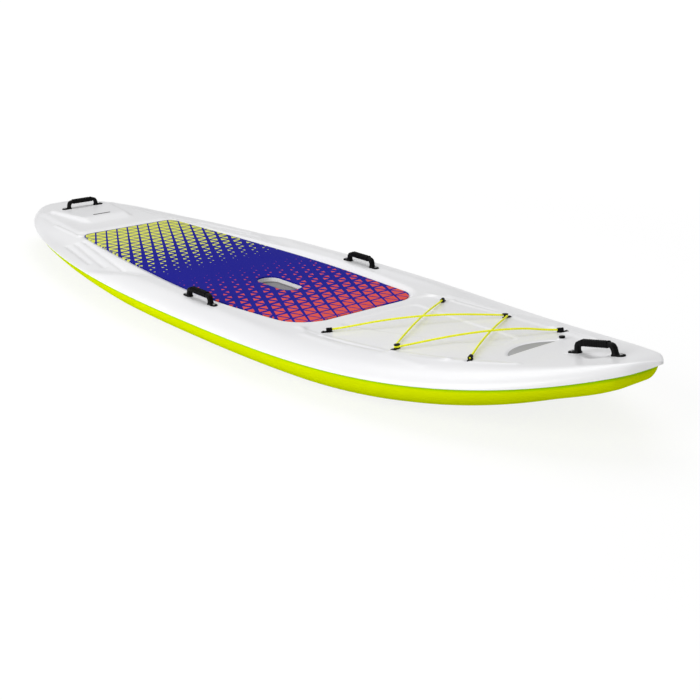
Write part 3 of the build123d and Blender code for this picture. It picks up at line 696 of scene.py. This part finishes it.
def sink_lining(sheet, sign):
    """Moves the closing faces away amidships, so that the carry well has room between them."""

    def closes_amidships(face):
        middle = face.calc_center_median()
        across_board = max(abs(vertex.co.y) for vertex in face.verts) > 0.3 and abs(middle.y) < 0.01
        return across_board and sign * face.normal.z > 0.9 and abs(middle.x) < 0.45

    edit_as("FACE")
    pick(sheet, "faces", closes_amidships)
    bpy.ops.mesh.inset(thickness=0.08, depth=-sign * 0.02)
    bpy.ops.object.mode_set(mode="OBJECT")


def bezier(share, first, second, third, fourth):
    rest = 1 - share
    return rest**3 * first + 3 * rest**2 * share * second + 3 * rest * share**2 * third + share**3 * fourth


print("a sheet's tips are closed by", rounded_end.__name__)

# %% The deck's grid on the board's lines
tip_radius = 0.06
rail_share = 0.76           # share of the grid's width spent on the level part
bow_softness = 0.12         # the bow's rails roll over sooner, by this share of the half width


def closer_at_ends(share):
    """Spaces a grid's stations more closely towards both tips."""
    return 0.6 * share + 0.4 * np.sin(share * math.pi / 2)


deck = formed_grid("formed_deck", 640, 148)
along, across = grid_shares(deck)
deck_x = bow_x * closer_at_ends(along)
half, top, base = half_width(deck_x), edge_z(deck_x), seam_z(deck_x) + seam_gap / 2
softer = bow_softness * rise(deck_x, 0.25, 0.95)
level_half = (flat_share - softer) * half
shoulder = (half - level_half) / 2
drop = shoulder * 2 * crown(deck_x) * level_half / (flat_share * half) ** 2
level_edge = deck_z(deck_x, level_half)
on_rail = np.clip((np.abs(across) - rail_share) / (1 - rail_share), 0, 1)
rail_y = bezier(on_rail, level_half, level_half + shoulder, half, half)
rail_z = bezier(on_rail, level_edge, level_edge - drop, (base + top) / 2, base)
level_y = level_half * np.abs(across) / rail_share
deck_y = np.sign(across) * np.where(on_rail > 0, rail_y, level_y)
deck_height = np.where(on_rail > 0, rail_z, deck_z(deck_x, deck_y))
print("deck grid", len(deck.data.polygons), "faces")

# %% [markdown]
# ### Pressings
#
# Each pressing is a line or two: an outline, a distance to it, and a depth.  The hips dip beside
# the aft half of the pad, and a low brow stands beside its middle.

# %% Scoop the hips
hip_depth, brow_height = 0.017, 0.0025
hip_end_x, hip_end_y, hip_slant = -0.19, 0.27, 2.2      # the hips end on a slanting line
brow_y = 0.352


place_x, place_y, place_z = deck_x, deck_y, deck_height.copy()
spread = np.abs(place_y)
hip_line = hip_end_x - (spread - hip_end_y) * hip_slant
hip_share = rise(hip_line - place_x, -0.02, 0.17) * rise(place_x, -1.42, -1.02)
beside_pad = rise(spread - pad_half(place_x), 0.0, 0.10)
above_seam = np.clip((place_z - base) / (top - base), 0, 1)
place_z -= hip_depth * hip_share * beside_pad * above_seam
brow_share = rise(place_x, -0.50, -0.15) * fade(place_x, 0.30, 0.60)
brow_rise = brow_height * brow_share * fade(np.abs(spread - brow_y), 0.0, 0.045)
place_z += brow_rise * above_seam
print("hips scooped by", round(float((deck_height - place_z).max()), 4))

# %% Press the recesses
panel_depth, badge_depth = 0.003, 0.003
cargo_stern, cargo_bow = bow_x - 1.110, bow_handle_x - foot_reach - foot_length / 2 - 0.006
cargo_half = through_three(place_x, (cargo_stern, cargo_stern + 0.330, cargo_bow), (0.268, 0.256, 0.136))
cargo = to_rounded(place_x, place_y, cargo_stern, cargo_bow, cargo_half, 0.06)
place_z -= cargo_depth * fade(cargo, -0.001, 0.009)

panel_stern, panel_bow = bow_x - 1.060, bow_x - 0.520
panel_half = between(0.150, 0.048, (place_x - panel_stern) / (panel_bow - panel_stern))
panel = to_rounded(place_x, place_y, panel_stern, panel_bow, panel_half, 0.026)
place_z -= panel_depth * fade(panel, -0.001, 0.012)

badge_half, badge_sagitta = 0.0955, 0.046
badge_radius = (badge_half**2 + badge_sagitta**2) / (2 * badge_sagitta)
badge_arc = np.hypot(place_x - badge_chord_x + badge_sagitta - badge_radius, place_y) - badge_radius
badge = np.maximum(badge_arc, place_x - badge_chord_x)
place_z -= badge_depth * fade(badge, -0.001, 0.004)

pad_corner = np.where(place_x < 0, 0.042, 0.085)        # at the stern, at the bow
pad_clearance = 0.0015
bank_slope = 2.2            # how far the bank round the pad reaches for its height
pad = to_rounded(place_x, place_y, pad_stern_x, pad_bow_x, pad_half(place_x), pad_corner)
bank = np.maximum(pad_clearance + (place_z - bed_z(place_x)) * bank_slope, 0.006)
place_z = between(place_z, bed_z(place_x), fade(pad, pad_clearance, bank))
print("recesses reach down to", round(float(place_z.min()), 4))

# %% [markdown]
# A terrace with a raised plateau on it makes the stern.  The ribs and folds that stand out of the
# deck and the grooves pressed into it are straight runs, and the scoop under the bow handle lets
# fingers in.

# %% Raise the stern plateau and the ribs
terrace_stern, terrace_bow, terrace_taper, terrace_height = -1.45, -1.016, 0.44, 0.0055
terrace_half = between(0.176, 0.214, (place_x - terrace_stern) / terrace_taper)
terrace = to_rounded(place_x, place_y, terrace_stern, terrace_bow, terrace_half, 0.04)
place_z += terrace_height * fade(terrace, -0.026, 0.008)
plateau_stern, plateau_bow = tail_x + 0.172, tail_x + 0.434
plateau_half = between(0.140, 0.104, (place_x - plateau_stern) / (plateau_bow - plateau_stern))
plateau = to_rounded(place_x, place_y, plateau_stern, plateau_bow + 0.05, plateau_half, 0.03)
plateau_share = fade(plateau, -0.020, 0.010) * fade(place_x, plateau_bow - 0.036, plateau_bow + 0.045)
place_z = between(place_z, plateau_z, plateau_share)
bead_height = 0.0016
bead_share = fade(place_x, plateau_bow - 0.06, plateau_bow + 0.01)
place_z += bead_height * fade(np.abs(plateau + 0.008), 0.0, 0.010) * bead_share

# A run's two ends as station and distance from the middle line, its reach and its height
ribs = [
    ((-1.219, 0.206), (-0.998, 0.218), 0.011, 0.0035),
    ((-0.998, 0.218), (-0.988, 0.194), 0.011, 0.0035),
]
grooves = [
    ((-0.947, 0.296), (-0.659, 0.352), 0.012, 0.0045),
    ((-0.933, 0.265), (-0.579, 0.336), 0.012, 0.0045),
    ((-0.921, 0.237), (-0.466, 0.318), 0.012, 0.0045),
]
folds = [
    ((0.481, 0.262), (0.594, 0.264), 0.014, 0.0024),
    ((0.594, 0.264), (0.884, 0.243), 0.016, 0.0030),
    ((0.884, 0.243), (1.070, 0.206), 0.022, 0.0042),
    ((1.070, 0.206), (1.260, 0.150), 0.024, 0.0045),
    ((0.546, 0.296), (0.735, 0.293), 0.014, 0.0018),
    ((0.866, 0.270), (1.040, 0.272), 0.014, 0.0018),
]
for runs, sign in ((ribs, 1), (grooves, -1), (folds, 1)):
    for first, second, reach, height in runs:
        place_z += sign * height * fade(to_run(place_x, spread, first, second), 0, reach)
scoop_length, scoop_width, scoop_depth = 0.092, 0.104, 0.008
finger_scoop = np.hypot((place_x - bow_handle_x) / (scoop_length / 2), place_y / (scoop_width / 2))
place_z -= scoop_depth * fade(finger_scoop, 0.15, 1.0)
print("plateau at", plateau_z, "with", len(ribs) + len(grooves) + len(folds), "runs on each side")

# %% Press the flats for the fittings
def press_flat(height, flat, middle, length, width):
    """Levels the deck under one foot or tab."""
    local = flat.inverted()
    dx, dy = place_x - flat.translation.x, place_y - flat.translation.y
    along_flat = local[0][0] * dx + local[0][1] * dy - middle
    across_flat = local[1][0] * dx + local[1][1] * dy
    normal = flat.col[2]
    plane = flat.translation.z - (normal.x * dx + normal.y * dy) / normal.z
    distance = to_slot(along_flat, across_flat, length, width)
    return between(height, plane, fade(distance, 0.001, 0.006))


for handle_seat in handle_seats.values():
    for reach in (-foot_reach, foot_reach):
        place_z = press_flat(place_z, handle_seat, reach, foot_length, foot_width)
for hook_seat in hook_seats.values():
    place_z = press_flat(place_z, hook_seat, 0, tab_length, tab_width)
place_z = press_flat(place_z, vent_seat, 0, vent_flat, vent_flat)
print("flats", 2 * len(handle_seats) + len(hook_seats) + 1)

# %% Close the tips and cut the carry well
tip = rounded_end(place_x, tip_radius, bow_x)
tip_z = between(seam_z(place_x), edge_z(place_x), 0.5)
shape(deck, place_x, place_y * tip, between(tip_z, place_z, tip))
tidy_shell(deck)
sink_lining(deck, -1)
well_length, well_width = 0.194, 0.082
well_x, well_floor = (well_low[0] + well_high[0]) / 2, well_low[2]
straight_half = (well_length - well_width) / 2


def over_well(face):
    middle = face.calc_center_median()
    return middle.z > 0.1 and float(to_slot(middle.x - well_x, middle.y, well_length, well_width)) < 0


edit_as("FACE")
pick(deck, "faces", over_well)
bpy.ops.mesh.extrude_region_move(TRANSFORM_OT_translate={"value": (0, 0, well_floor - bed_z(well_x))})
edit = bmesh.from_edit_mesh(deck.data)
rim = {vertex for edge in edit.edges for vertex in edge.verts
       if sum(face.select for face in edge.link_faces) == 1}
wall = [face for face in edit.faces if not face.select and any(vertex in rim for vertex in face.verts)
        and abs(face.normal.z) < 0.5]
for vertex in {vertex for face in wall for vertex in face.verts}:
    spine = max(-straight_half, min(straight_half, vertex.co.x - well_x))
    away = Vector((vertex.co.x - well_x - spine, vertex.co.y, 0)).normalized() * well_width / 2
    vertex.co.x, vertex.co.y = well_x + spine + away.x, away.y
bmesh.update_edit_mesh(deck.data)
bpy.ops.object.mode_set(mode="OBJECT")
smooth(50)
dress(deck, "board", deck_white)
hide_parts("deck_shell")
print("deck", len(deck.data.polygons), "faces")

# %% [markdown]
# ## The hull
#
# The hull is the deck's mirror below the seam: quarter-ellipse bilges run into a level bottom,
# and the bow rolls up to meet the nose, where it is a little fuller than the keel's line.  The
# same kind of grid serves, with its long edges at the seam, just inside the deck's lip.

# %% The hull's grid
hull_stern, hull_bow = 1.530, 1.560     # how far the hull reaches to each end
hull_reach = (hull_stern + hull_bow) / 2
hull_tip_radius = 0.75 * tip_radius
bow_fullness = 0.009
level_share = 0.5           # share of the grid's width spent on the level bottom
hull = formed_grid("formed_hull", 360, 84)
along, across = grid_shares(hull)
hull_x = hull_reach * closer_at_ends(along)
tip = rounded_end(hull_x, hull_tip_radius, hull_reach)
hull_x += (hull_bow - hull_stern) / 2
half = half_width(hull_x) - deck_lip
turn = np.minimum(bilge_width, bilge_share * half_width(hull_x))
level_half = half - turn
top = seam_z(hull_x) - seam_gap / 2
base = np.maximum(keel_z(hull_x), 0) - bow_fullness * rise(hull_x, 1.36, 1.50)
drop = quarter_bend * (top - base)
on_bilge = np.clip((np.abs(across) - level_share) / (1 - level_share), 0, 1)
bilge_y = bezier(on_bilge, level_half, level_half + quarter_bend * turn, half, half)
bilge_z = bezier(on_bilge, base, base, top - drop, top)
level_y = level_half * np.abs(across) / level_share
hull_y = np.sign(across) * np.where(on_bilge > 0, bilge_y, level_y)
hull_z = between(top, bilge_z, tip)
shape(hull, hull_x, hull_y * tip, hull_z)
# The depth under the lip, which sets where the lip's painted shadow lies on the hull.
lip_shadow_depth = hull.data.attributes.new("lip_shadow_depth", "FLOAT", "POINT")
lip_shadow_depth.data.foreach_set("value", top - hull_z)
tidy_shell(hull)
sink_lining(hull, 1)
smooth(50)
dress(hull, "board", hull_lime)
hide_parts("hull_shell")
print("hull", len(hull.data.polygons), "faces")

# %% [markdown]
# ## The standing pad
#
# The pad is a sheet of closed-cell foam, cut to its outline and glued into its recess.  The
# engineering solid already has the true outline, so a merged copy of it is the start, and a
# bevel rounds its top edge as a hot knife leaves it.

# %% Pad sheet
def merged_copy(node, name, flatness=1.0):
    """A copy of an engineering piece as one closed surface, its faces joined where they are level."""
    piece = bpy.data.objects.new(name, frame["nodes"][node].data.copy())
    scene.collection.objects.link(piece)
    take(piece)
    bpy.ops.object.mode_set(mode="EDIT")
    bpy.ops.mesh.select_all(action="SELECT")
    bpy.ops.mesh.remove_doubles(threshold=0.00001)
    bpy.ops.mesh.normals_make_consistent(inside=False)
    bpy.ops.mesh.dissolve_limited(angle_limit=math.radians(flatness))
    bpy.ops.object.mode_set(mode="OBJECT")
    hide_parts(node)
    return piece


def edge_bevel(piece, width, segments, angle):
    """Rounds the sharp edges of a piece and smooths it."""
    take(piece)
    bpy.ops.object.modifier_add(type="BEVEL")
    bevel = piece.modifiers[-1]
    bevel.width, bevel.segments, bevel.angle_limit = width, segments, math.radians(angle)
    bpy.ops.object.modifier_apply(modifier=bevel.name)
    smooth(40)


standing_pad = merged_copy("deck_pad", "standing_pad", flatness=0.02)
edge_bevel(standing_pad, 0.0012, 3, 50)
print("pad", spans(standing_pad))

# %% [markdown]
# The pad's print is a field of small triangles on blue: yellow ones at the stern, coral ones at
# the bow.  Three families of lines, one across the board and two slanting, cut the field into
# triangles, and the lines widen towards the middle until the triangles are gone.  The lines lie
# a little further apart towards the bow, and the lines across lean a little.  Two of the three
# families are also pressed into the foam, as a cutter's grooves are.

# %% Pad finish
row, column = 0.052, 0.048          # about how far apart the lines are
row_counts = 0.37, 21.75, 2.2, 0.64         # at the start, per metre, fewer each metre, lean
column_counts = 0.58, 21.35, 1.09, 0.45     # on the middle line, per metre, fewer, bend
print_stern, print_bow = -1.02, 0.43        # the stations between which the lines widen
thinnest_line = 0.0026

pad_finish = Finish("printed_foam")
pad_finish.set(**{"Specular IOR Level": 0.1})
place = pad_finish.place()
along, across, _ = pad_finish.parts(place)
from_stern = along + 0.85
first, per_metre, fewer, lean = row_counts
rows = first + from_stern * (per_metre - fewer * from_stern - lean * across)
first, per_metre, fewer, bend = column_counts
columns = first + across * (per_metre - fewer * from_stern) + bend * from_stern * from_stern
slant_pitch = column * math.cos(math.atan(column / (2 * row)))
on_slant, on_counter = (rows * 0.5 + columns).fraction(), (rows * 0.5 - columns).fraction()
past_cross = on_slant + on_counter > 1.0        # which of a cell's two triangles this is
to_cross = abs(on_slant + on_counter - 1.0) * row
to_slant = (on_slant + past_cross * (1.0 - on_slant * 2.0)) * slant_pitch
to_counter = (on_counter + past_cross * (1.0 - on_counter * 2.0)) * slant_pitch
print_wear = pad_finish.noise(place, 260.0, detail=3.0)
past_stern = along - print_stern
stern_gap = thinnest_line + 0.0245 * past_stern * past_stern
bow_gap = thinnest_line + 0.0187 * (print_bow - along)
gap = stern_gap.least(bow_gap) + (print_wear - 0.5) * 0.0014
inner = (to_cross - gap * 1.05).least(to_slant - gap).least(to_counter - (gap * 0.85 - 0.0004))
triangles = inner.step(0.0, 0.0012)
foam_speckle = pad_finish.noise(place, 1500.0)
blue = pad_finish.mix(foam_speckle, (0.007, 0.007, 0.235), (0.011, 0.011, 0.28))
yellow, coral = (0.68, 0.71, 0.10), (0.68, 0.085, 0.065)
tint = pad_finish.mix(along.step(-0.33, -0.28), yellow, coral)
groove = 1.0 - to_slant.least(to_cross).step(0.0006, 0.0018)
pad_finish.set(Base_Color=pad_finish.mix(triangles, blue, tint),
               Roughness=0.72 + 0.12 * foam_speckle,
               Normal=pad_finish.bump(foam_speckle * 0.25 - groove, 0.0004, 0.5))
dress(standing_pad, "board", pad_finish.material)
print("pad print, rows about", round(row * 1000), "mm apart")

# %% [markdown]
# ## The small flat pieces
#
# The tray on the carry well's floor, the half-moon plate on the bow and the strip on the stern
# are simple mouldings.  Merged copies with eased edges are all that they need.

# %% Tray, plate and strip
for node, name, width, slot, material in (
    ("carry_well_liner", "well_tray", 0.0008, "grey_liner", well_grey),
    ("bow_badge_plate", "half_moon_plate", 0.0004, "badge_grey", badge_grey),
    ("stern_strip", "stern_bar", 0.0003, "badge_grey", strip_grey),
):
    flat_piece = merged_copy(node, name)
    edge_bevel(flat_piece, width, 2, 40)
    dress(flat_piece, "board", material)
    print(name, len(flat_piece.data.polygons), "faces")

# %% [markdown]
# ## The handles
#
# All four handles are one moulding: two spoon-shaped feet, thick legs that lean in a little, and
# a bar between them under a ribbed grip.  Half of the frame is modelled lying at the origin, in
# the handle's own directions: a ring is extruded up the leg and round the shoulder, the foot is a
# round disc pulled into a slot, and a mirror makes the other half.

# %% Legs and bar
leg_rings = [               # station, height, lean from upright, half thickness, half width, in mm
    (-62.0, 3.0, 0, 10.5, 10.4), (-62.0, 5.0, 0, 8.6, 9.6), (-61.6, 8.0, 0, 7.6, 9.2),
    (-60.8, 14.0, 4, 7.4, 9.2), (-59.2, 19.5, 12, 7.6, 9.6), (-55.8, 24.6, 42, 7.4, 10.0),
    (-50.0, 27.2, 72, 6.8, 10.2), (-44.0, 28.0, 90, 6.4, 9.6), (0.0, 28.0, 90, 6.4, 9.6),
]
boxiness = 0.72             # one is an ellipse, less is squarer
mm = 0.001


def squared(value):
    return math.copysign(abs(value) ** boxiness, value)


def ring_place(ring, angle):
    station, height, lean, thick, wide = ring
    lean = math.radians(lean)
    across = squared(math.cos(angle)) * thick
    return Vector((station + math.cos(lean) * across, squared(math.sin(angle)) * wide,
                   height - math.sin(lean) * across)) * mm


bpy.ops.object.select_all(action="DESELECT")
bpy.ops.mesh.primitive_circle_add(vertices=20, radius=1, fill_type="NGON")
handle_frame = bpy.context.object
bpy.ops.object.mode_set(mode="EDIT")
bpy.ops.mesh.select_mode(type="VERT")
edit = bmesh.from_edit_mesh(handle_frame.data)
turned = edit.verts.layers.float.new("turned")
for vertex in edit.verts:
    vertex[turned] = math.atan2(vertex.co.y, vertex.co.x)
for number, ring in enumerate(leg_rings):
    if number == 1:
        bpy.ops.mesh.extrude_region_move()
    elif number:
        bpy.ops.mesh.select_mode(type="EDGE")
        bpy.ops.mesh.extrude_region_move()
    edit = bmesh.from_edit_mesh(handle_frame.data)
    turned = edit.verts.layers.float["turned"]
    for vertex in edit.verts:
        if vertex.select:
            vertex.co = ring_place(ring, vertex[turned])
    bmesh.update_edit_mesh(handle_frame.data)
    if number == 1:
        bpy.ops.mesh.delete(type="ONLY_FACE")
        rim_z = (leg_rings[1][1] - 0.5) * mm
        pick(handle_frame, "verts", lambda vertex: vertex.co.z > rim_z)
bpy.ops.object.mode_set(mode="OBJECT")
print("leg", len(handle_frame.data.polygons), "faces", spans(handle_frame))

# %% Foot
bpy.ops.object.select_all(action="DESELECT")
foot_height = 4 * mm
bpy.ops.mesh.primitive_cylinder_add(vertices=40, radius=foot_width / 2, depth=foot_height,
                                    location=(-foot_reach, 0, foot_height / 2))
foot = bpy.context.object
bpy.ops.object.transform_apply()
bpy.ops.object.mode_set(mode="EDIT")
for sign, margin in ((-1, -0.0001), (1, 0.0001)):       # the middle's vertices go with the outer half
    pick(foot, "verts", lambda vertex: sign * (vertex.co.x + foot_reach) > margin)
    bpy.ops.transform.translate(value=(sign * (foot_length - foot_width) / 2, 0, 0))
bpy.ops.mesh.select_mode(type="FACE")
pick(foot, "faces", lambda face: face.normal.z > 0.9)
bpy.ops.mesh.bevel(offset=1.6 * mm, segments=4, affect="EDGES")
bpy.ops.object.mode_set(mode="OBJECT")
print("foot", spans(foot))

# %% Mirror the half
bpy.ops.object.select_all(action="DESELECT")
foot.select_set(True)
handle_frame.select_set(True)
bpy.context.view_layer.objects.active = handle_frame
bpy.ops.object.join()
bpy.ops.object.modifier_add(type="MIRROR")
handle_frame.modifiers[-1].merge_threshold = 0.00002
bpy.ops.object.modifier_apply(modifier=handle_frame.modifiers[-1].name)
bpy.ops.object.mode_set(mode="EDIT")
leave_outwards()
smooth(48)
print("handle", spans(handle_frame))

# %% [markdown]
# The grip is a rubber sleeve, flat on top, with slanting ribs and a collar at each end.  A block
# is cut into bands by slanting planes.  Every other band is then extruded in place and swelled
# away from the bar's middle, which raises it as a rib with upright sides.

# %% Grip
grip_length, grip_width, grip_height, bar_height = 86 * mm, 19.4 * mm, 15.6 * mm, 28 * mm
rib_pitch, rib_width, collar_width = 7.6 * mm, 4.0 * mm, 6 * mm
rib_slant = Vector((1, 0.28, 0)).normalized()
bpy.ops.object.select_all(action="DESELECT")
bpy.ops.mesh.primitive_cube_add(size=1, location=(0, 0, bar_height),
                                scale=(grip_length, grip_width, grip_height))
handle_grip = bpy.context.object
bpy.ops.object.transform_apply()
edit_as("EDGE")
pick(handle_grip, "edges", lambda edge: abs((edge.verts[0].co - edge.verts[1].co).x) > grip_length / 2)
bpy.ops.mesh.bevel(offset=5.2 * mm, segments=4)
rib_count = 9
rib_places = [rib_pitch * (number - (rib_count - 1) / 2) for number in range(rib_count)]
cuts = [(place + sign * rib_width / 2, rib_slant) for place in rib_places for sign in (-1, 1)]
cuts += [(sign * (grip_length / 2 - collar_width), Vector((1, 0, 0))) for sign in (-1, 1)]
for place, normal in cuts:
    bpy.ops.mesh.select_all(action="SELECT")
    bpy.ops.mesh.bisect(plane_co=(place, 0, bar_height), plane_no=normal)
bpy.ops.mesh.select_mode(type="FACE")
bpy.ops.mesh.select_all(action="DESELECT")
collar_start = grip_length / 2 - collar_width


def stands_out(face):
    middle = face.calc_center_median()
    slanted = middle.x * rib_slant.x + middle.y * rib_slant.y
    on_rib = any(abs(slanted - place * rib_slant.x) < rib_width / 2 * rib_slant.x for place in rib_places)
    return (on_rib or abs(middle.x) > collar_start) and abs(face.normal.x) < 0.5


edit = pick(handle_grip, "faces", stands_out)
raised = sum(face.select for face in edit.faces)
bpy.ops.mesh.extrude_region_move()
bpy.ops.transform.resize(value=(1, 1.125, 1.15), center_override=(0, 0, bar_height))
leave_outwards()
edge_bevel(handle_grip, 0.4 * mm, 2, 35)
print("grip", raised, "raised faces", spans(handle_grip))

# %% Four copies at the handles' seats
def set_down(piece, name, place, node, material):
    """Puts a copy of a piece that is modelled at the origin, with its own mesh, at its place."""
    copy = bpy.data.objects.new(name, piece.data.copy())
    scene.collection.objects.link(copy)
    copy.data.transform(place)
    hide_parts(node)
    dress(copy, "board", material)


for side, place in handle_seats.items():
    set_down(handle_frame, side + "_moulded_handle", place, side + "_handle", black_nylon)
    set_down(handle_grip, side + "_ribbed_grip", place, side + "_handle_grip", grip_rubber)
for pattern in (handle_frame, handle_grip):
    bpy.data.objects.remove(pattern)
print("handles at", sorted(handle_seats))

# %% [markdown]
# ## Finishes on the engineering pieces
#
# What the engineering model already shapes truly keeps its mesh and only gets a finish.

# %% Finishes by slot
slot_finish = {
    "steel": screw_steel, "black_steel": black_screw, "black_nylon": black_nylon,
    "seal_rubber": seal_rubber, "foam": core_foam, "deck_abs": deck_white,
}
for subpart in frame["record"]["subparts"]:
    node = frame["nodes"][subpart["node"]]
    if not node.hide_render:
        node.data.materials.clear()
        node.data.materials.append(slot_finish[subpart["material_slot"]])
print("engineering pieces kept", sum(not node.hide_render for node in frame["nodes"].values()))
